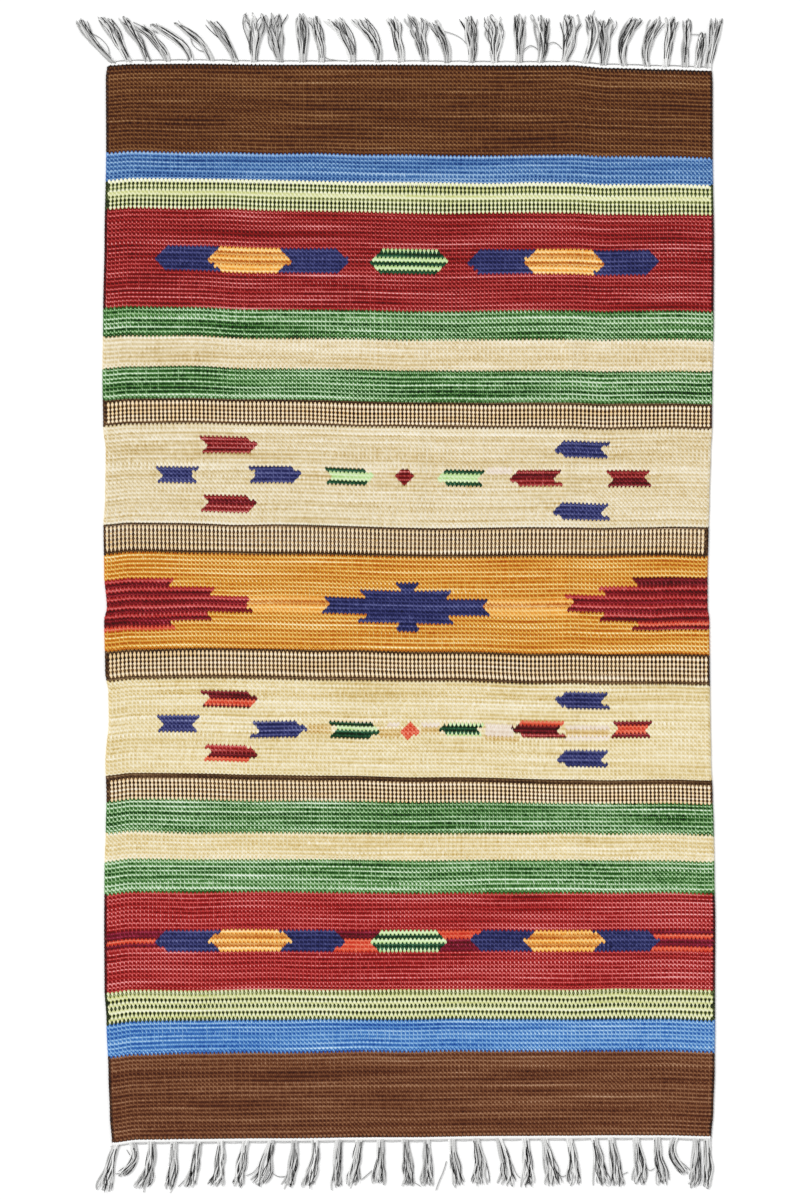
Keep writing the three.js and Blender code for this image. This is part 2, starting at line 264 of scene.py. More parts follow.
def pick_drift(across, along):
    """How far each point of the loom's grid strays towards the upper end."""
    strays = np.array([eased(DRIFT[:, 0], column, along) for column in DRIFT[:, 1:].T]).T
    row = np.clip(np.searchsorted(DRIFT_ACROSS, across) - 1, 0, len(DRIFT_ACROSS) - 2)
    share = (across - DRIFT_ACROSS[row]) / (DRIFT_ACROSS[row + 1] - DRIFT_ACROSS[row])
    share = smooth(np.clip(share, 0, 1))
    return strays[:, row] * (1 - share) + strays[:, row + 1] * share


def on_the_floor(across, along):
    """Where a point of the straight loom lies on the slightly crooked rug."""
    left = side_x(along, -1)
    right = side_x(along, 1)
    bottom = -(HALF_LENGTH + end_out(across, -1))
    top = HALF_LENGTH + end_out(across, 1)
    x = left + (across + HALF_WIDTH) / (2 * HALF_WIDTH) * (right - left)
    y = bottom + (along + HALF_LENGTH) / (2 * HALF_LENGTH) * (top - bottom)
    return MIDDLE_X + x * MM, MIDDLE_Y + y * MM


def woven_face():
    """The upper face of the whole cloth: a line of points for every pick, and two points for every warp."""
    half_warps = np.arange(2 * WARPS + 1)
    lines = np.arange(PICKS + 1)
    across = -HALF_WIDTH + half_warps * WARP_PITCH / 2
    across = across + slow_waves((1, len(half_warps)), WARP_WANDER_SPACING, WARP_WANDER)[0]
    along = HALF_LENGTH - line_places()
    stray = pick_drift(across, along)
    calm_ends = np.minimum(1, np.minimum(lines, PICKS - lines) / CALM_LINES)[:, None]
    stray += calm_ends * slow_waves(stray.shape, PICK_WANDER_SPACING, PICK_WANDER)
    grid_across = np.broadcast_to(across, stray.shape)
    warp_middle = half_warps % 2 == 1
    over = (half_warps // 2 + lines[:, None]) % 2 == 1
    turn = np.where(warp_middle & (half_warps // 2 % 2 == 1), 1, -1) * pick_pairing()
    stray += turn * PICK_PITCH * (PAIRING + slow_waves(stray.shape, PAIRING_SPACING, PAIRING_CHANGE))
    swell = np.where(over, -FLOAT_SWELL, FLOAT_SWELL) * ~warp_middle
    swell[:, [0, -1]] *= SELVEDGE_SWELL_SHARE
    x, y = on_the_floor(grid_across + swell, along[:, None] + stray)
    crowned = CROWN_HEIGHT + dye.normal(0, CROWN_UNEVENNESS, over.shape)
    groove = GROOVE_HEIGHT + ROW_RISE * np.where(lines % 2 == 1, 1, -1)[:, None]
    height = np.where(warp_middle, np.where(over, crowned, JUNCTION_HEIGHT), groove)
    height += slow_waves(stray.shape, COCKLE_SPACING, COCKLE) + ridge_lift(grid_across)
    for step, drop in enumerate(SELVEDGE_DROP):
        height[:, step] -= drop
        height[:, -1 - step] -= drop
    return np.stack([x, y, height * MM], axis=2)


CLOTH_FACE = woven_face()
along_warp = np.gradient(CLOTH_FACE, axis=0)
along_weft = np.gradient(CLOTH_FACE, axis=1)
CLOTH_NORMALS = np.cross(along_warp, along_weft)
CLOTH_NORMALS /= np.linalg.norm(CLOTH_NORMALS, axis=2, keepdims=True)
# Slow unevenness of the painted shade and highlight over the whole cloth
RELIEF_LIGHT_WANDER = slow_waves((PICKS + 1, 2 * WARPS + 1), RELIEF_LIGHT_SPACING, RELIEF_LIGHT_UNEVENNESS)
# The chart: red, green and blue of the yarn in every float, and how strongly shade is painted into its
# hollows and a highlight onto its crowns
CHART = np.zeros((PICKS, WARPS, 4))


def dyed(colour):
    """The light that a colour written as 0xRRGGBB gives back, from 0 to 1."""
    tint = np.array([colour >> 16 & 255, colour >> 8 & 255, colour & 255]) / 255
    return np.where(tint < 0.04045, tint / 12.92, ((tint + 0.055) / 1.055) ** 2.4)


def wound_yarn(yarn, pair=0):
    """One pick of yarn along the width, as dye and the strength of its painted relief shade; where it took
    more dye it is deeper and darker.
    """
    colour, unevenness, painted_relief_shade = yarn
    knots = dye.integers(*SLOW_SHADE_KNOTS)
    slow = np.interp(np.arange(WARPS), np.linspace(0, WARPS, knots), dye.normal(0, SLOW_SHADE, knots))
    shade = PAIR_SHADE * pair + dye.normal(0, PICK_SHADE) + slow + dye.normal(0, FLOAT_SHADE, WARPS)
    depth = np.exp(unevenness * shade)
    return np.column_stack([dyed(colour) ** depth[:, None], np.full(WARPS, painted_relief_shade)])


def throw(first, draft, yarns):
    """Throws a band of picks, which lie in pairs; the draft has one letter for each pick."""
    tones = dye.normal(0, 1, len(draft))
    for step, letter in enumerate(draft):
        CHART[first + step] = wound_yarn(yarns[letter], tones[step // 2])


def twisted_selvedges(first, last, yarn):
    """Dyes the turns of weft round the outermost warps."""
    colour, _, painted_relief_shade = yarn
    for warp in (0, -1):
        CHART[first:last, warp, :3] = dyed(colour) ** dye.uniform(*SELVEDGE_SHADE, (last - first, 1))
        CHART[first:last, warp, 3] = painted_relief_shade


def strips(left, right):
    """Quads between two columns of points, from the first line to the last."""
    return np.stack([left[:-1], left[1:], right[1:], right[:-1]], axis=-1)


def cut_ends(top_at, under_at, bulge_at):
    """Triangles that close a length of cloth along its first and its last line."""
    half_step = UNDERSIDE_STEP // 2
    ends = []
    for line, turn in ((0, 1), (-1, -1)):
        for cell in range(under_at.shape[1] - 1):
            fine = top_at[line, cell * UNDERSIDE_STEP:(cell + 1) * UNDERSIDE_STEP + 1]
            coarse = under_at[line, cell:cell + 2]
            fan = [(fine[step], fine[step + 1], coarse[step // half_step]) for step in range(UNDERSIDE_STEP)]
            fan.append((coarse[0], fine[half_step], coarse[1]))
            ends += [triangle[::turn] for triangle in fan]
        ends.append((top_at[line, 0], under_at[line, 0], bulge_at[line, 0])[::turn])
        ends.append((top_at[line, -1], bulge_at[line, 1], under_at[line, -1])[::turn])
    return [tuple(map(int, end)) for end in ends]


def relief_light_levels(first, last):
    """How high each point of a length of cloth's upper face stands out of its hollow, from 0 to 1, as painted
    light: shade in the hollows, a highlight on the crowns.
    """
    half_warps = np.arange(2 * WARPS + 1)
    lines = np.arange(first, last + 1)[:, None]
    over = (half_warps // 2 + lines) % 2 == 1
    groove = MID_RELIEF_LIGHT + ROW_RISE * np.where(lines % 2 == 1, 1, -1)
    light_levels = np.where(half_warps % 2 == 1, np.where(over, 1.0, 0.0), groove)
    light_levels += RELIEF_LIGHT_WANDER[first:last + 1]
    light_levels[:, [0, -1]] = MID_RELIEF_LIGHT
    return light_levels.ravel()


def weave(name, first, last):
    """The finished length of cloth between two lines, with its underside, selvedges and cut ends."""
    rows = last - first
    top = CLOTH_FACE[first:last + 1]
    under = top[:, ::UNDERSIDE_STEP].copy()
    under[:, 0, 0] += UNDERSIDE_INSET * MM
    under[:, -1, 0] -= UNDERSIDE_INSET * MM
    under[:, :, 2] = ridge_lift(np.linspace(-HALF_WIDTH, HALF_WIDTH, under.shape[1])) * MM
    bulges = top[:, [0, -1]].copy()
    bulges[:, :, 0] += np.array([-1, 1]) * SELVEDGE_BULGE * MM
    bulges[:, :, 2] = (BULGE_HEIGHT + BULGE_STEP * (np.arange(rows + 1) % 2)[:, None]) * MM
    points = np.concatenate([face.reshape(-1, 3) for face in (top, under, bulges)])
    top_at = np.arange(top.size // 3).reshape(top.shape[:2])
    under_at = top_at.size + np.arange(under.size // 3).reshape(under.shape[:2])
    bulge_at = top_at.size + under_at.size + np.arange(bulges.size // 3).reshape(bulges.shape[:2])

    row = np.arange(rows)[:, None] + first
    pick = np.where((np.arange(WARPS) + row) % 2 == 0, row, row - 1)
    shown = CHART[np.clip(pick, 0, PICKS - 1), np.arange(WARPS)]
    quads = [
        strips(top_at[:, :-1], top_at[:, 1:]).reshape(-1, 4),
        strips(under_at[:, 1:], under_at[:, :-1]).reshape(-1, 4),
    ]
    tints = [
        np.repeat(shown, 2, axis=1).reshape(-1, 4),
        shown[:, ::UNDERSIDE_STEP // 2].reshape(-1, 4),
    ]
    walls = [
        (bulge_at[:, 0], top_at[:, 0], 0), (under_at[:, 0], bulge_at[:, 0], 0),
        (top_at[:, -1], bulge_at[:, 1], -1), (bulge_at[:, 1], under_at[:, -1], -1),
    ]
    for left, right, side in walls:
        quads.append(strips(left, right))
        tints.append(shown[:, side])
    ends = cut_ends(top_at, under_at, bulge_at)
    tints.append(np.tile(shown[0, 0], (len(ends), 1)))
    mesh = bpy.data.meshes.new(name)
    mesh.from_pydata(points.tolist(), [], np.concatenate(quads).tolist() + ends)
    mesh.shade_smooth()

    colours = mesh.attributes.new("yarn", "FLOAT_COLOR", "FACE")
    colours.data.foreach_set("color", np.concatenate(tints).ravel())
    # Painted shade and highlight: 1 on the floats' crowns, 0 in the hollows between them
    relief_lights = mesh.attributes.new("relief_light", "FLOAT", "POINT")
    light_levels = relief_light_levels(first, last)
    relief_lights.data.foreach_set("value", np.append(light_levels, np.full(len(points) - light_levels.size, MID_RELIEF_LIGHT)))
    normals = np.zeros_like(points)
    normals[:top_at.size] = CLOTH_NORMALS[first:last + 1].reshape(-1, 3)
    normals[top_at.size:top_at.size + under_at.size] = (0, 0, -1)
    mesh.normals_split_custom_set_from_vertices(normals.tolist())

    length = bpy.data.objects.new(name, mesh)
    context.collection.objects.link(length)
    mesh.materials.append(woven_cotton)
    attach(length, "root")
    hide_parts("rug_cloth")
    return length


woven_cotton = bpy.data.materials.new("woven_cotton")
woven_cotton.use_nodes = True
nodes = woven_cotton.node_tree.nodes
links = woven_cotton.node_tree.links
cotton = nodes["Principled BSDF"]
cotton.inputs["Roughness"].default_value = 0.92
cotton.inputs["Specular IOR Level"].default_value = 0.2
cotton.inputs["Sheen Weight"].default_value = 0.06
cotton.inputs["Sheen Roughness"].default_value = 0.6
# The yarn attribute holds each float's dye, and in its alpha how strongly shade and highlight are painted on
# it
yarn_dye_and_shade = nodes.new("ShaderNodeAttribute")
yarn_dye_and_shade.attribute_name = "yarn"
relief_light = nodes.new("ShaderNodeAttribute")
relief_light.attribute_name = "relief_light"
# Painted shade and highlight: the dye is darkened in the hollows between the floats and lightened on their
# crowns, where shade and light fall
painted_hollow_shade = nodes.new("ShaderNodeMapRange")
painted_hollow_shade.clamp = False
painted_hollow_shade.inputs["To Min"].default_value = 1.8
painted_hollow_shade.inputs["To Max"].default_value = -0.48
links.new(relief_light.outputs["Fac"], painted_hollow_shade.inputs["Value"])
place = nodes.new("ShaderNodeTexCoord")
along_yarn = nodes.new("ShaderNodeMapping")
along_yarn.inputs["Scale"].default_value = (500, 1400, 900)
links.new(place.outputs["Object"], along_yarn.inputs["Vector"])
fibres = nodes.new("ShaderNodeTexNoise")
fibres.inputs["Scale"].default_value = 1
fibres.inputs["Detail"].default_value = 3
links.new(along_yarn.outputs["Vector"], fibres.inputs["Vector"])
lint = nodes.new("ShaderNodeMapRange")
lint.inputs["From Min"].default_value = 0.25
lint.inputs["From Max"].default_value = 0.75
lint.inputs["To Min"].default_value = 0.8
lint.inputs["To Max"].default_value = 1.2
links.new(fibres.outputs["Fac"], lint.inputs["Value"])
painted_relief_shade = nodes.new("ShaderNodeMath")
painted_relief_shade.operation = "MULTIPLY_ADD"
links.new(painted_hollow_shade.outputs["Result"], painted_relief_shade.inputs[0])
links.new(yarn_dye_and_shade.outputs["Alpha"], painted_relief_shade.inputs[1])
links.new(lint.outputs["Result"], painted_relief_shade.inputs[2])
depth = nodes.new("ShaderNodeMath")
depth.operation = "MAXIMUM"
depth.inputs[1].default_value = 0.3
links.new(painted_relief_shade.outputs["Value"], depth.inputs[0])
dye_with_painted_shade = nodes.new("ShaderNodeGamma")
links.new(yarn_dye_and_shade.outputs["Color"], dye_with_painted_shade.inputs["Color"])
links.new(depth.outputs["Value"], dye_with_painted_shade.inputs["Gamma"])
links.new(dye_with_painted_shade.outputs["Color"], cotton.inputs["Base Color"])
fuzz = nodes.new("ShaderNodeBump")
fuzz.inputs["Strength"].default_value = 0.35
fuzz.inputs["Distance"].default_value = 0.0004
links.new(fibres.outputs["Fac"], fuzz.inputs["Height"])
links.new(fuzz.outputs["Normal"], cotton.inputs["Normal"])

# Each yarn: its colour, how unevenly it took the dye and how strongly shade is painted into its hollows and a
# highlight onto its crowns
BROWN = (0x734926, 0.08, 0.65)
DARK_BROWN = (0x4a2d1a, 0.1, 0.5)
BLUE_PAINTED_HIGHLIGHT = (0x93b4da, 0.12, 0.9)
BLUE = (0x7097c2, 0.12, 1.05)
LIME_WHITE = (0xf4f5e4, 0.05, 0.7)
PALE_LIME = (0xe3e5be, 0.12, 0.9)
LEAF = (0x3a451e, 0.15, 0.5)
OLIVE = (0x6e7644, 0.15, 0.6)

throw(0, "d" + "b" * 43, {"b": BROWN, "d": DARK_BROWN})
# The first blue pick is drawn paler, a painted highlight along that raised pick.
throw(44, "k" + "b" * 12, {"b": BLUE, "k": BLUE_PAINTED_HIGHLIGHT})
throw(57, "wpgpgpppopgpgp", {"w": LIME_WHITE, "p": PALE_LIME, "g": LEAF, "o": OLIVE})
twisted_selvedges(0, 44, DARK_BROWN)
twisted_selvedges(57, 71, LEAF)
weave_upper_end = weave("weave_upper_end", *UPPER_END_PICKS)


# Upper red field: red ground with a row of hexagons, then a green, a cream and a green band.
# The hexagons are woven in with their own wefts, which turn back at the edge of each shape.
UPPER_RED_PICKS = (71, 162)
UPPER_HEXAGON_LINE = 95
UPPER_HEXAGON_HALF = 6
HEXAGON_TAPER = 17
GOLD_TAPER = 19
HEXAGON_TIP_HALF = 0.5
RED = (0xb53e3d, 0.1, 1.5)
DARK_RED = (0x561214, 0.1, 0.6)
NAVY = (0x3d4174, 0.12, 0.55)
GOLD = (0xd69c52, 0.2, 1.0)
PALE_GOLD = (0xf3ce8a, 0.15, 1.0)
FOREST = (0x1f5234, 0.15, 0.6)
MINT = (0xd6e8be, 0.12, 0.8)
GREEN = (0x9fc093, 0.25, 2.7)
CREAM = (0xe5d9bc, 0.22, 0.8)
RED_FIELD_YARNS = {"n": NAVY, "g": GOLD, "p": PALE_GOLD, "f": FOREST, "m": MINT}
# Where navy runs on behind the tips of the gold hexagons
NAVY_JOINTS = [(-301, -281), (-197, -172), (166, 190), (272, 300)]
# Where the floats of a pair's first and second pick lie between their lines; the two lie close together
FIRST_FLOAT_AT = 0.6
SECOND_FLOAT_AT = 0.4
# Where each float lies: across the rug in mm, and along it in lines
FLOAT_PLACES = (CLOTH_FACE[1:, 1::2, 0] - MIDDLE_X) / MM
BAND_OF_PICK = np.searchsorted(BAND_STARTS[1:-1], np.arange(PICKS), side="right")
FIRST_OF_PAIR = (np.arange(PICKS) - BAND_STARTS[BAND_OF_PICK]) % 2 == 0
PICK_LINES = np.arange(PICKS) + np.where(FIRST_OF_PAIR, FIRST_FLOAT_AT, SECOND_FLOAT_AT)


def inlay(outline, draft, yarns):
    """Weaves a shape over the ground. Its corners are (mm from the rug's middle, line), and the draft has
    a letter for each of its picks from the top; the last letter goes on."""
    inside = np.zeros((PICKS, WARPS), bool)
    along = PICK_LINES[:, None]
    for (x0, line0), (x1, line1) in zip(outline, outline[1:] + outline[:1]):
        if line0 == line1:
            continue
        crossed = (line0 > along) != (line1 > along)
        inside ^= crossed & (FLOAT_PLACES < x0 + (x1 - x0) * (along - line0) / (line1 - line0))
    picks = np.flatnonzero(inside.any(axis=1))
    for step, pick in enumerate(picks):
        letter = draft[min(step, len(draft) - 1)]
        CHART[pick, inside[pick]] = wound_yarn(yarns[letter])[inside[pick]]


def hexagon(left, right, line, half, taper=HEXAGON_TAPER):
    """A long hexagon, pointed at both ends."""
    tip = HEXAGON_TIP_HALF
    return [
        (left, line - tip), (left + taper, line - half), (right - taper, line - half), (right, line - tip),
        (right, line + tip), (right - taper, line + half), (left + taper, line + half), (left, line + tip),
    ]


def block(left, right, top, bottom):
    """A plain rectangle."""
    return [(left, top), (right, top), (right, bottom), (left, bottom)]


def hexagon_row(line, half, navy, gold, green, green_draft):
    """A row of hexagons: two navy ones joined behind each gold one, and a green one in the middle."""
    for left, right in navy:
        inlay(hexagon(left, right, line, half), "n", RED_FIELD_YARNS)
    for left, right in NAVY_JOINTS:
        inlay(block(left, right, line - half, line + half), "n", RED_FIELD_YARNS)
    for left, right in gold:
        inlay(hexagon(left, right, line, half, GOLD_TAPER), "ppggppggp", RED_FIELD_YARNS)
    inlay(hexagon(*green, line, half), green_draft, RED_FIELD_YARNS)


throw(71, "r" * 48, {"r": RED})
hexagon_row(
    UPPER_HEXAGON_LINE, UPPER_HEXAGON_HALF, [(-379, -284), (-190, -90), (88, 185), (282, 371)],
    [(-300, -177), (170, 290)], (-59, 57), "mfffmmffmmff")
throw(119, "g" * 13, {"g": GREEN})
throw(132, "c" * 15, {"c": CREAM})
throw(147, "g" * 15, {"g": GREEN})
twisted_selvedges(71, 119, DARK_RED)
weave_upper_red = weave("weave_upper_red", *UPPER_RED_PICKS)


# Upper cream field: cream ground between two pick-and-pick bands of brown and cream.
# Small arrows, a diamond and two hourglass shapes are woven into it in three rows; they all point to the
# middle of the rug.
UPPER_CREAM_PICKS = (162, 237)
MOTIF_HALF = 4
ARROW_TAPER = 16
ARROW_NOTCH = 14
ARROW_TIP_HALF = 0.6
DIAMOND_TAPER = 13
PICK_AND_PICK = "bbcbcbcbcbcbbb"
UMBER = (0x5c4024, 0.15, 0.6)
PALE_CREAM = (0xefddbe, 0.12, 0.8)
FADED_NAVY = (0x484c7f, 0.12, 0.6)
WINE = (0x7c1822, 0.15, 0.8)
BRICK = (0xb14a49, 0.2, 1.3)
BLUSH = (0xeadfd2, 0.2, 0.6)
CREAM_FIELD_YARNS = {
    "n": FADED_NAVY, "r": BRICK, "w": WINE, "f": FOREST, "m": MINT, "b": UMBER, "c": PALE_CREAM, "o": BLUSH,
}


def arrow(tail, tip, line, half=MOTIF_HALF):
    """A short arrow with a notched tail and a blunt tip."""
    way = 1 if tip > tail else -1
    shoulder = tip - way * ARROW_TAPER
    return [
        (tail, line - half), (shoulder, line - half), (tip, line - ARROW_TIP_HALF),
        (tip, line + ARROW_TIP_HALF), (shoulder, line + half), (tail, line + half),
        (tail + way * ARROW_NOTCH, line),
    ]


def hourglass(left, right, line):
    """A block with a notch in each end."""
    return [
        (left, line - MOTIF_HALF), (right, line - MOTIF_HALF), (right - ARROW_NOTCH, line),
        (right, line + MOTIF_HALF), (left, line + MOTIF_HALF), (left + ARROW_NOTCH, line),
    ]


throw(162, PICK_AND_PICK[:11] + "bb", CREAM_FIELD_YARNS)
throw(175, "c" * 48, {"c": CREAM})
for shape, draft in (
    (block(114, 153, 194.3, 197.5), "o"),
    (arrow(-314, -226, 185), "r"),
    (hourglass(-381, -313, 199), "n"),
    (arrow(-241, -161, 199), "n"),
    (arrow(-312, -228, 213), "rrwwr"),
    (arrow(-129, -53, 199), "ffmmmmff"),
    (hexagon(-21, 7, 199, MOTIF_HALF, DIAMOND_TAPER), "r"),
    (arrow(114, 41, 199), "ffmmmmff"),
    (arrow(229, 149, 199), "rrwwr"),
    (arrow(299, 217, 185), "n"),
    (arrow(299, 214, 215), "n"),
    (hourglass(291, 362, 199), "rrrrw"),
):
    inlay(shape, draft, CREAM_FIELD_YARNS)
throw(223, PICK_AND_PICK, CREAM_FIELD_YARNS)
twisted_selvedges(162, 175, UMBER)
twisted_selvedges(223, 237, UMBER)
weave_upper_cream = weave("weave_upper_cream", *UPPER_CREAM_PICKS)


# Gold field across the middle of the rug, with a stepped navy medallion.
# Half a medallion in wine red reaches in from each selvedge, striped with lighter picks.
GOLD_FIELD_PICKS = (237, 282)
PAST_SELVEDGE = 460
GOLD_GROUND = (0xe3b964, 0.09, 1.6)
CLARET = (0x7e0c18, 0.15, 0.8)
ROSE = (0xc2504f, 0.15, 0.9)
CORAL = (0xdb6f57, 0.15, 0.8)
GOLD_SHEEN = (0xeec47a, 0.08, 0.9)
GOLD_FIELD_YARNS = {
    "n": NAVY, "w": CLARET, "s": ROSE, "o": CORAL, "r": WINE, "l": GOLD_SHEEN, "d": GOLD,
}
MEDALLION = [
    (-22, 249), (-11, 253), (-74, 253), (-62, 257), (-130, 257), (-117, 261), (-131, 265), (-63, 265),
    (-77, 269), (-11, 269), (-22, 273), (16, 273), (6, 269), (68, 269), (54, 265), (122, 265),
    (109, 261), (121, 257), (52, 257), (68, 253), (5, 253), (16, 249),
]
LEFT_WING = [
    (-PAST_SELVEDGE, 249), (-348, 249), (-358, 253), (-288, 253), (-301, 257), (-237, 257), (-245, 261),
    (-233, 265), (-303, 265), (-290, 269), (-358, 269), (-343, 273), (-PAST_SELVEDGE, 273),
]
RIGHT_WING = [
    (PAST_SELVEDGE, 247), (331, 247), (345, 251), (279, 251), (292, 255), (230, 255), (245, 259), (230, 263),
    (291, 263), (279, 267), (344, 267), (331, 271), (PAST_SELVEDGE, 271),
]

throw(237, "g" * 45, {"g": GOLD_GROUND})
for shape, draft in (
    (block(-250, -115, 257, 265), "llddl"),
    (block(105, 250, 257, 265), "llddl"),
    (MEDALLION, "n"),
    (LEFT_WING, "ssww" * 4 + "sswwwwoo"),
    (RIGHT_WING, "rrrr" + "ssww" * 3 + "sswwooww"),
):
    inlay(shape, draft, GOLD_FIELD_YARNS)
weave_gold = weave("weave_gold", *GOLD_FIELD_PICKS)


# Lower cream field, the upper one's fellow.
# Its arrows are in two or three shades, and tan and near-white picks run between them in the middle row.
LOWER_CREAM_PICKS = (282, 355)
SMALL_ARROW_HALF = 3
TAN = (0xdac28e, 0.15, 0.8)
ORANGE = (0xdf7156, 0.12, 0.7)
LOWER_CREAM = (0xe8dcba, 0.22, 0.8)
CREAM_FIELD_YARNS.update({"t": TAN, "s": ROSE, "k": ORANGE})

throw(282, PICK_AND_PICK, CREAM_FIELD_YARNS)
throw(296, "c" * 47, {"c": LOWER_CREAM})
for shape, draft in (
    (block(-153, -117, 318, 322.3), "t"),
    (block(-44, -13, 319.3, 323.3), "t"),
    (block(-34, -14, 316, 318.5), "o"),
    (block(17, 44, 317.6, 321.3), "t"),
    (block(17, 44, 315.6, 317.6), "o"),
    (block(114, 154, 316.6, 322.2), "o"),
    (block(114, 165, 322.2, 324.5), "t"),
    (block(232, 299, 318, 321), "t"),
    (block(232, 299, 316.4, 318), "o"),
    (block(232, 299, 321, 323.3), "o"),
    (arrow(-312, -226, 306), "wwwwkkkw"),
    (hourglass(-378, -311, 318), "n"),
    (arrow(-238, -154, 320), "n"),
    (arrow(-308, -227, 332), "ssrrwwkk"),
    (arrow(-121, -44, 320), "ffmmf"),
    (hexagon(-14, 14, 320, MOTIF_HALF, DIAMOND_TAPER), "k"),
    (arrow(114, 44, 319, SMALL_ARROW_HALF), "mffffm"),
    (arrow(234, 153, 318), "kkwwwwrr"),
    (arrow(299, 218, 304), "n"),
    (arrow(299, 220, 332), "n"),
    (hourglass(298, 364, 318), "wwkkkkww"),
):
    inlay(shape, draft, CREAM_FIELD_YARNS)
throw(343, "b" + PICK_AND_PICK[:11], CREAM_FIELD_YARNS)
twisted_selvedges(282, 296, UMBER)
twisted_selvedges(343, 355, UMBER)
weave_lower_cream = weave("weave_lower_cream", *LOWER_CREAM_PICKS)


# Lower red field, below a green, a cream and a green band.
# Wine red and orange picks fill the row of hexagons between the shapes and out to the selvedges.
LOWER_RED_PICKS = (355, 445)
LOWER_HEXAGON_LINE = 421
LOWER_HEXAGON_HALF = 5
LOWER_RED = (0xc24a49, 0.1, 1.55)
PLUM = (0x861a34, 0.15, 0.6)
RED_FIELD_YARNS.update({"w": PLUM, "k": ORANGE, "s": ROSE})

throw(355, "g" * 15, {"g": GREEN})
throw(370, "c" * 13, {"c": LOWER_CREAM})
throw(383, "g" * 15, {"g": GREEN})
throw(398, "r" * 47, {"r": LOWER_RED})
for left, right, draft in (
    (-PAST_SELVEDGE, -366, "wwwwkkwwss"), (-130, -40, "wwwwk"),
    (30, 120, "kkkkw"), (350, PAST_SELVEDGE, "wwkkwwwwkk"),
):
    row = LOWER_HEXAGON_LINE - LOWER_HEXAGON_HALF, LOWER_HEXAGON_LINE + LOWER_HEXAGON_HALF
    inlay(block(left, right, *row), draft, RED_FIELD_YARNS)
hexagon_row(
    LOWER_HEXAGON_LINE, LOWER_HEXAGON_HALF, [(-379, -284), (-190, -96), (91, 185), (282, 372)],
    [(-299, -176), (170, 291)], (-59, 56), "mmffmmfffm")
twisted_selvedges(398, 445, DARK_RED)
weave_lower_red = weave("weave_lower_red", *LOWER_RED_PICKS)


# Lower end of the rug: a lime band, a blue band and the brown ground.
# The same cotton as in the upper end, with a slightly paler dye; the last pick is a darker brown.
LOWER_END_PICKS = (445, 516)
LOWER_BLUE = (0x7eaad6, 0.12, 1.2)
LOWER_BROWN = (0x7d5134, 0.08, 0.6)

throw(445, "poppgppgppgppg", {"p": PALE_LIME, "g": LEAF, "o": OLIVE})
throw(459, "b" * 15, {"b": LOWER_BLUE})
throw(474, "b" * 41 + "d", {"b": LOWER_BROWN, "d": DARK_BROWN})
twisted_selvedges(445, 459, LEAF)
twisted_selvedges(474, 516, DARK_BROWN)
weave_lower_end = weave("weave_lower_end", *LOWER_END_PICKS)


# Upper fringe: a white twined heading holds the last pick, with a thin grey cord along its outer edge as a
# painted shadow line.
# The warp ends hang from it in tassels of soft two-ply white cords, with painted shade in the grooves between
# the plies, pinched at the root; near-black cords among them and along each tassel's right side are painted
# shadow.
HEADING_PROFILE = np.array([
    (-0.4, 0.2), (-0.4, 3.2), (0.8, 3.7), (2.4, 3.5), (3.9, 3.0), (4.9, 2.0), (5.0, 0.2),
])
HEADING_RIB = 0.15
HEADING_UNEVENNESS = 0.08
HEADING_INSET = 0.5
HEADING_FOOT = 1
HEADING_TONE = -0.2
EDGE_SHADOW_CORD_HALF = 446
EDGE_SHADOW_CORD_STEP = 4.0
EDGE_SHADOW_CORD_OUT = 5.9
EDGE_SHADOW_CORD_HEIGHT = 1.1
EDGE_SHADOW_CORD_RADIUS = 0.55
EDGE_SHADOW_CORD_SAG = 1.2
EDGE_SHADOW_CORD_SLACK = 16
CORD_SIDES = 6
CORD_STEPS = np.array([0, 0.06, 0.12, 0.2, 0.3, 0.41, 0.53, 0.65, 0.76, 0.87, 0.95, 1])
CORD_THICKNESS = (0.85, 1.12)
CORD_TIP = 0.55
CORD_CLEARANCE = 0.02
PLIES = 2
PLY_PITCH = 5.0
STRAY_RADIUS = 0.6
STRAY_HEIGHT = 1.6
STRAY_TONE = 0.6
TOP_PALE_TONE = 0.5
TOP_EDGE_SHADOW_TONE = 0.6

# Cords of one tassel, white ones and near-black ones that are painted shadow between and beside them: how
# many, how thick and how dark; the seats go from -1 to 1 across the tassel
PALE_CORDS = 8
PALE_RADIUS = 1.3
PALE_SEATS = np.linspace(-0.9, 0.86, PALE_CORDS)
SHADOW_CORDS = 7
SHADOW_RADIUS = 0.6
SHADOW_TONES = (0.85, 1.1)
SHADOW_SEATS = (-0.9, 0.9)
SHADOW_STARTS = (1, 5)
# The last painted shadow cord runs along each tassel's right side, from the root.
RIGHT_SHADOW_SEAT = 1.0
LAYER_HEIGHTS = (1.1, 2.3)
LAYER_WAVE = 0.4
LAYER_WAVE_RATE = 7
# How a tassel opens from its root, and how its cords stray
ROOT_OUT = 3.0
ROOT_HALF_WIDTH = 5.2
NECK_HALF_WIDTH = 4.3
NECK_SHARE = 0.12
FAN_CURVE = 0.8
LOCKS = 1.4
CLUMPING = 0.5
CLUMP_CURVE = 1.5
WAVER = 0.35
WAVER_RATES = (4, 12)
WAVER_CURVE = 0.7
WAVE_STARTS = (0, 6)
RAGGED = 2.6
SIDES_SHORTER = 2.5
TIP_STRAY = 1.4
# Loops that join the tips of neighbouring pale cords
LOOP_GAP = 6
LOOP_RADIUS = 0.5
LOOP_REACH = 3.5
LOOP_POINTS = 8
LOOP_TONES = (0.3, 0.8)

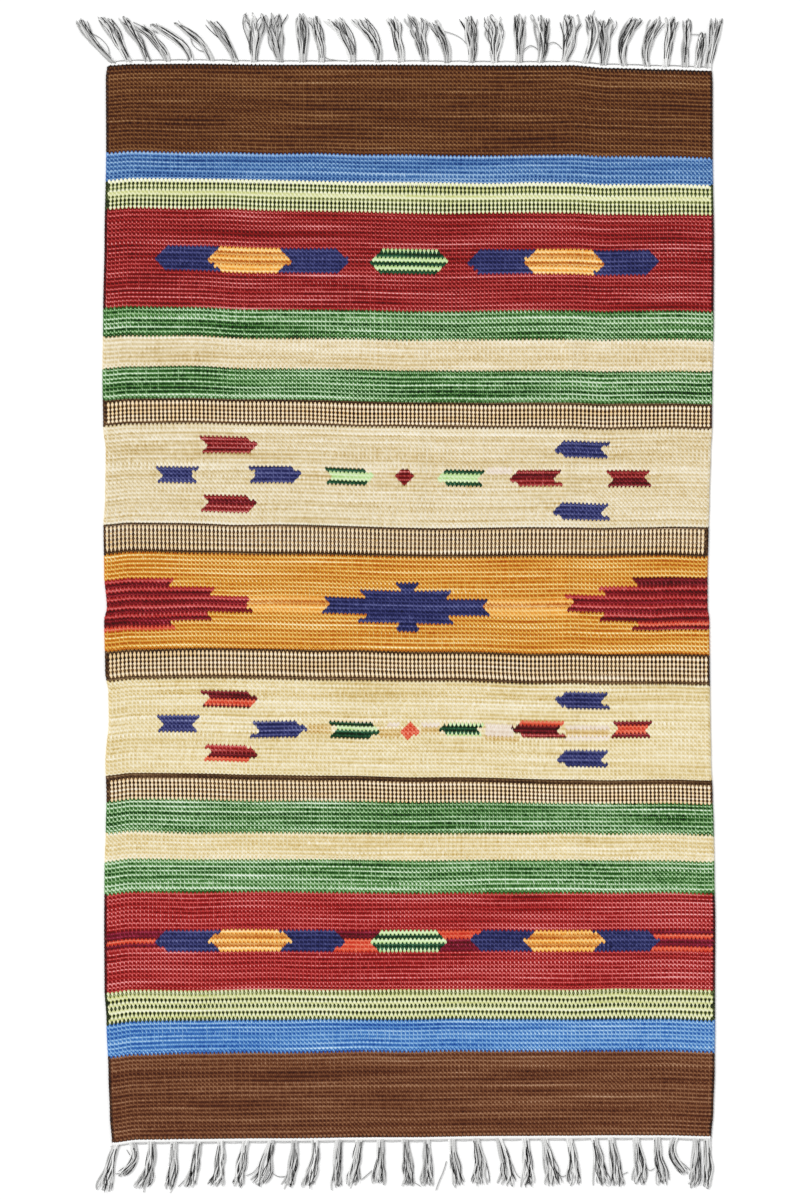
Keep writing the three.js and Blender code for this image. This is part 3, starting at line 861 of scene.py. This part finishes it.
# Root, lean, bow, reach and spread of each tassel from left to right
TOP_TASSELS = [
    (-440, -50, -5, 66, 15), (-418, -36, 0, 69, 22), (-390, -35, 4, 68, 16), (-361, -44, 8, 57, 22),
    (-327, -49, 12, 57, 20), (-296, -48, 10, 60, 16), (-260, -36, 5, 63, 16), (-232, 0, 0, 74, 30),
    (-193, -8, -2, 75, 30), (-160, -3, 2, 72, 17), (-132, -12, 4, 71, 17), (-86, -27, 7, 68, 26),
    (-47, -28, 8, 69, 22), (-13, -13, 2, 68, 19), (23, -15, 1, 73, 28), (56, -22, 6, 63, 18),
    (92, -5, 3, 71, 21), (126, -3, 2, 71, 30), (163, 1, 0, 74, 18), (194, -1, 5, 71, 24),
    (229, 13, 2, 72, 26), (260, 9, 7, 75, 16), (288, 5, 0, 73, 26), (320, 17, -11, 72, 19),
    (354, 15, -8, 73, 17), (381, 9, 0, 75, 14), (410, 4, -1, 74, 12), (428, 8, 1, 54, 12),
    (444, 14, 0, 76, 15),
]
# Stray cords: across, and out from the straight end of the cloth
TOP_STRAYS = [
    [(-473, 49), (-461, 42), (-451, 31), (-448, 21), (-449, 11)],
    [(-412, 66), (-387, 55), (-375, 50)],
    [(-327, 45), (-324, 34), (-315, 25), (-305, 22)],
    [(-211, 45), (-210, 34), (-205, 24), (-197, 21)],
    [(-136, 54), (-130, 36), (-130, 22), (-123, 12), (-106, 9)],
    [(46, 54), (66, 48), (78, 41), (85, 33)],
    [(167, 19), (172, 26), (180, 31), (188, 28), (194, 21)],
    [(190, 32), (204, 33), (214, 36), (221, 33), (228, 25)],
    [(269, 62), (273, 76), (276, 84)],
    [(391, 54), (396, 63), (402, 67)],
    [(412, 45), (425, 48), (440, 45)],
]


def ring_loft(rings, start):
    """Faces over a chain of closed rings, with a lid on each end."""
    at = start + np.arange(rings.shape[0] * rings.shape[1]).reshape(rings.shape[:2])
    beside = np.roll(at, -1, axis=1)
    quads = np.stack([at[:-1], beside[:-1], beside[1:], at[1:]], axis=-1).reshape(-1, 4)
    return quads.tolist() + [at[0][::-1].tolist(), at[-1].tolist()]


def cord_rings(path, radii):
    """Rings of a round cord along a path, in mm, lying flat."""
    way = np.gradient(path, axis=0)
    way /= np.linalg.norm(way, axis=1, keepdims=True)
    beside = np.cross(way, (0, 0, 1))
    beside /= np.linalg.norm(beside, axis=1, keepdims=True)
    below = np.cross(way, beside)
    turn = np.arange(CORD_SIDES) * 2 * math.pi / CORD_SIDES
    spokes = np.sin(turn)[:, None] * beside[:, None] - np.cos(turn)[:, None] * below[:, None]
    return path[:, None] + spokes * np.asarray(radii)[:, None, None]


def cord_twist(path):
    """Where each face corner of a cord is: turns round it from the top, and metres from its root."""
    run = np.append(0, np.cumsum(np.linalg.norm(np.diff(path, axis=0), axis=1))) * MM
    side = np.arange(CORD_SIDES)
    coords = np.zeros((len(path) - 1, CORD_SIDES, 4, 2))
    coords[..., 0] = (side[:, None] + np.array([0, 1, 1, 0])) / CORD_SIDES
    coords[..., 1] = np.stack([run[:-1], run[:-1], run[1:], run[1:]], axis=-1)[:, None]
    lids = np.zeros((2 * CORD_SIDES, 2))
    lids[CORD_SIDES:, 1] = run[-1]
    return np.concatenate([coords.reshape(-1, 2), lids])


def tassel_cords(root, lean, bow, reach, spread, end, pale_tone):
    """One tassel's cords, white ones and near-black painted shadow ones: the middle line in mm from the rug's
    middle, the radius and how dark it is.
    """
    share = CORD_STEPS
    clump = dye.uniform(0, CLUMPING)
    edge = end_out(root, end)
    shadow_seats = np.append(dye.uniform(*SHADOW_SEATS, SHADOW_CORDS - 1), RIGHT_SHADOW_SEAT)
    pinch = np.interp(share, [0, NECK_SHARE], [ROOT_HALF_WIDTH, NECK_HALF_WIDTH])
    opened = np.clip((share - NECK_SHARE) / (1 - NECK_SHARE), 0, 1) ** FAN_CURVE
    half = pinch + (spread / 2 - NECK_HALF_WIDTH) * opened
    cords = []
    for seat in np.append(PALE_SEATS, shadow_seats):
        painted_shadow = len(cords) >= PALE_CORDS
        length = reach - ROOT_OUT + dye.normal(0, RAGGED) - SIDES_SHORTER * abs(seat)
        drawn = seat + clump * share ** CLUMP_CURVE * (round(seat * LOCKS) / LOCKS - seat)
        waver = np.sin(share * dye.uniform(*WAVER_RATES) + dye.uniform(*WAVE_STARTS))
        drawn += WAVER * waver * share ** WAVER_CURVE
        x = root + lean * share + 4 * bow * share * (1 - share) + drawn * half
        x += dye.normal(0, TIP_STRAY) * share ** 2
        layer = LAYER_HEIGHTS[len(cords) % 2]
        wave = np.sin(share * LAYER_WAVE_RATE + dye.uniform(*WAVE_STARTS))
        # Painted shadow cords lie a millimetre above the white ones, so that they show.
        height = layer + LAYER_WAVE * wave + painted_shadow
        path = np.column_stack([x, end * (HALF_LENGTH + edge + ROOT_OUT + length * share), height])
        if painted_shadow:
            start = 0 if seat == RIGHT_SHADOW_SEAT else dye.integers(*SHADOW_STARTS)
            cords.append((path[start:], SHADOW_RADIUS, dye.uniform(*SHADOW_TONES)))
        else:
            cords.append((path, PALE_RADIUS, dye.uniform(0, pale_tone)))
    way = np.array([lean, end * reach, 0]) / math.hypot(lean, reach)
    bend = np.linspace(0, 1, LOOP_POINTS)[:, None]
    for first in range(0, PALE_CORDS, 2):
        left, right = cords[first][0][-1], cords[first + 1][0][-1]
        loop = left + (right - left) * bend + LOOP_REACH * way * np.sin(bend * math.pi)
        if np.linalg.norm(right - left) < LOOP_GAP:
            cords.append((loop, LOOP_RADIUS, dye.uniform(*LOOP_TONES)))
    return cords


def strand(points, end):
    """A stray cord that runs smoothly through a few points."""
    points = np.array([(*point, STRAY_HEIGHT) for point in points], float)
    ends = np.vstack([2 * points[0] - points[1], points, 2 * points[-1] - points[-2]])
    path = []
    for a, b, c, d in zip(ends, ends[1:], ends[2:], ends[3:]):
        for share in (0, 0.25, 0.5, 0.75):
            lines = 2 * b + (c - a) * share + (2 * a - 5 * b + 4 * c - d) * share ** 2
            path.append(0.5 * (lines + (3 * b - a - 3 * c + d) * share ** 3))
    path = np.array(path + [points[-1]])
    path[:, 1] = end * (HALF_LENGTH + path[:, 1])
    return path


def edge_shadow_cord(end, rows):
    """The middle line of the grey cord along the heading, a painted shadow line at its outer edge, which sags
    between the roots of the tassels.
    """
    across = np.arange(-EDGE_SHADOW_CORD_HALF, EDGE_SHADOW_CORD_HALF + 1, EDGE_SHADOW_CORD_STEP)
    roots = np.array([row[0] for row in rows])
    apart = np.min(np.abs(across[:, None] - roots), axis=1)
    out = EDGE_SHADOW_CORD_OUT + EDGE_SHADOW_CORD_SAG * np.clip(apart / EDGE_SHADOW_CORD_SLACK, 0, 1)
    height = np.full_like(across, EDGE_SHADOW_CORD_HEIGHT) + ridge_lift(across)
    return np.column_stack([across, end * (HALF_LENGTH + end_out(across, end) + out), height])


def finish_fringe(name, mesh, twists, tones):
    """Shades, dyes and seats one fringe piece."""
    mesh.shade_smooth()
    mesh.attributes.new("tone", "FLOAT", "FACE").data.foreach_set("value", tones)
    twist = mesh.uv_layers.new(name="twist")
    twist.data.foreach_set("uv", twists.ravel())
    mesh.materials.append(fringe_cotton)
    piece = bpy.data.objects.new(name, mesh)
    context.collection.objects.link(piece)
    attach(piece, "root")
    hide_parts("fringe_top" if name.endswith("top") else "fringe_bottom")
    return piece


def heading(name, end):
    """The twined heading across one end of the cloth."""
    half_warps = np.arange(2 * WARPS + 1)
    across = -HALF_WIDTH + half_warps * WARP_PITCH / 2
    out = (HALF_LENGTH + end_out(across, end))[:, None] + HEADING_PROFILE[:, 0]
    rib = np.where(half_warps % 2 == 1, HEADING_RIB, -HEADING_RIB)[:, None]
    rib = rib + dye.normal(0, HEADING_UNEVENNESS, out.shape)
    raised = HEADING_PROFILE[:, 1] > HEADING_FOOT
    height = HEADING_PROFILE[:, 1] + rib * raised + ridge_lift(across)[:, None]
    wide = np.clip(across, HEADING_INSET - HALF_WIDTH, HALF_WIDTH - HEADING_INSET)
    left = side_x(end * HALF_LENGTH, -1)
    right = side_x(end * HALF_LENGTH, 1)
    x = left + (wide + HALF_WIDTH) / (2 * HALF_WIDTH) * (right - left)
    rings = np.stack([np.broadcast_to(x[:, None], out.shape), end * out, height], axis=2)
    if end > 0:
        rings = rings[:, ::-1]
    faces = ring_loft(rings, 0)
    mesh = bpy.data.meshes.new(name)
    points = rings.reshape(-1, 3) * MM + (MIDDLE_X, MIDDLE_Y, 0)
    mesh.from_pydata(points.tolist(), [], faces)
    return finish_fringe(name, mesh, np.zeros((len(mesh.loops), 2)), [HEADING_TONE] * len(faces))


def tassels(name, end, rows, strays, pale_tone, edge_shadow_tone):
    """All the tassels of one end, with the grey cord along the heading, a painted shadow line, and a few
    stray cords.
    """
    cords = []
    for row in rows:
        cords += tassel_cords(*row, end, pale_tone)
    cords += [(strand(points, end), STRAY_RADIUS, STRAY_TONE) for points in strays]
    cords.append((edge_shadow_cord(end, rows), EDGE_SHADOW_CORD_RADIUS, edge_shadow_tone))
    points, faces, twists, tones = [], [], [], []
    start = 0
    for path, radius, tone in cords:
        radii = np.full(len(path), radius) * dye.uniform(*CORD_THICKNESS)
        radii[-1] *= CORD_TIP
        rings = cord_rings(path, radii)
        faces += ring_loft(rings, start)
        points.append(rings.reshape(-1, 3))
        twists.append(cord_twist(path))
        tones += [tone] * (len(faces) - len(tones))
        start += rings.shape[0] * rings.shape[1]
    points = np.concatenate(points)
    points[:, 2] = np.maximum(points[:, 2], CORD_CLEARANCE)
    mesh = bpy.data.meshes.new(name)
    mesh.from_pydata((points * MM + (MIDDLE_X, MIDDLE_Y, 0)).tolist(), [], faces)
    return finish_fringe(name, mesh, np.concatenate(twists), tones)


fringe_cotton = bpy.data.materials.new("fringe_cotton")
fringe_cotton.use_nodes = True
nodes = fringe_cotton.node_tree.nodes
links = fringe_cotton.node_tree.links
soft_cotton = nodes["Principled BSDF"]
soft_cotton.inputs["Roughness"].default_value = 0.9
soft_cotton.inputs["Specular IOR Level"].default_value = 0.2
twist_at = nodes.new("ShaderNodeUVMap")
twist_at.uv_map = "twist"
# A wave texture repeats ten times in a full turn
one_wave = math.tau / 10
plies = nodes.new("ShaderNodeMapping")
plies.inputs["Scale"].default_value = (PLIES * one_wave, PLIES * one_wave / PLY_PITCH / MM, 1)
links.new(twist_at.outputs["UV"], plies.inputs["Vector"])
ply = nodes.new("ShaderNodeTexWave")
ply.bands_direction = "DIAGONAL"
ply.inputs["Scale"].default_value = 1
links.new(plies.outputs["Vector"], ply.inputs["Vector"])
# Painted shade in the grooves between the two plies of each cord
ply_shade = nodes.new("ShaderNodeMapRange")
ply_shade.inputs["To Min"].default_value = 0.22
ply_shade.inputs["To Max"].default_value = 0
links.new(ply.outputs["Fac"], ply_shade.inputs["Value"])
tone = nodes.new("ShaderNodeAttribute")
tone.attribute_name = "tone"
# How dark each face is: its tone, which on the near-black cords and the edge cord is painted shadow, plus the
# painted ply shade
darkness = nodes.new("ShaderNodeMath")
links.new(tone.outputs["Fac"], darkness.inputs[0])
links.new(ply_shade.outputs["Result"], darkness.inputs[1])
# The mix node's sockets 6 and 7 are its two colours, and output 2 is the mixed one
cord_tone_and_shade = nodes.new("ShaderNodeMix")
cord_tone_and_shade.data_type = "RGBA"
cord_tone_and_shade.inputs[6].default_value = (0.95, 0.95, 0.94, 1)
cord_tone_and_shade.inputs[7].default_value = (0.006, 0.006, 0.006, 1)
links.new(darkness.outputs["Value"], cord_tone_and_shade.inputs["Factor"])
links.new(cord_tone_and_shade.outputs[2], soft_cotton.inputs["Base Color"])
fringe_place = nodes.new("ShaderNodeTexCoord")
fringe_fibres = nodes.new("ShaderNodeTexNoise")
fringe_fibres.inputs["Scale"].default_value = 1800
links.new(fringe_place.outputs["Object"], fringe_fibres.inputs["Vector"])
fringe_fuzz = nodes.new("ShaderNodeBump")
fringe_fuzz.inputs["Strength"].default_value = 0.3
fringe_fuzz.inputs["Distance"].default_value = 0.0003
links.new(fringe_fibres.outputs["Fac"], fringe_fuzz.inputs["Height"])
links.new(fringe_fuzz.outputs["Normal"], soft_cotton.inputs["Normal"])

heading_top = heading("heading_top", 1)
tassels_top = tassels("tassels_top", 1, TOP_TASSELS, TOP_STRAYS, TOP_PALE_TONE, TOP_EDGE_SHADOW_TONE)


# Lower fringe: the same heading and the same cords as in the upper one.
# Its tassels lie straighter, and its cords are a little paler.
BOTTOM_PALE_TONE = 0.38
BOTTOM_EDGE_SHADOW_TONE = 0.35
BOTTOM_TASSELS = [
    (-437, -19, -1, 71, 20), (-415, -13, 10, 52, 14), (-385, -14, 4, 72, 22), (-352, -6, 2, 73, 15),
    (-315, -12, 1, 72, 15), (-282, -8, 3, 70, 22), (-244, -12, 0, 70, 18), (-206, -17, 1, 68, 24),
    (-172, -9, 3, 70, 15), (-141, -12, 4, 71, 18), (-105, -4, -2, 71, 15), (-75, -11, 0, 71, 15),
    (-44, -3, 2, 68, 17), (-7, 4, 1, 71, 19), (25, 1, 0, 71, 15), (63, 10, -2, 71, 17),
    (98, 7, 3, 71, 21), (132, 12, 4, 71, 20), (172, 3, 1, 73, 18), (200, 14, 1, 73, 22),
    (238, 6, 2, 73, 18), (275, 12, 1, 72, 20), (300, 9, 1, 74, 16), (337, 6, 1, 71, 22),
    (369, 10, -3, 72, 17), (396, 12, -10, 56, 14), (427, -4, 2, 73, 16), (443, 1, 1, 72, 13),
]
BOTTOM_STRAYS = [
    [(-422, 15), (-412, 34), (-424, 48), (-439, 51)],
    [(-345, 70), (-336, 61), (-330, 52)],
    [(-220, 33), (-232, 48), (-244, 54)],
    [(-211, 39), (-205, 49), (-196, 55), (-185, 55)],
    [(-56, 46), (-65, 54), (-72, 60)],
    [(-11, 45), (2, 60), (17, 70)],
    [(55, 32), (50, 48), (44, 62), (39, 76)],
    [(153, 36), (159, 51), (168, 60)],
    [(220, 48), (227, 55), (236, 52)],
    [(306, 45), (315, 52), (326, 48)],
    [(351, 39), (358, 46), (366, 42)],
    [(397, 27), (415, 42), (425, 57), (415, 66)],
]

heading_bottom = heading("heading_bottom", -1)
tassels_bottom = tassels(
    "tassels_bottom", -1, BOTTOM_TASSELS, BOTTOM_STRAYS, BOTTOM_PALE_TONE, BOTTOM_EDGE_SHADOW_TONE)


context.view_layer.update()
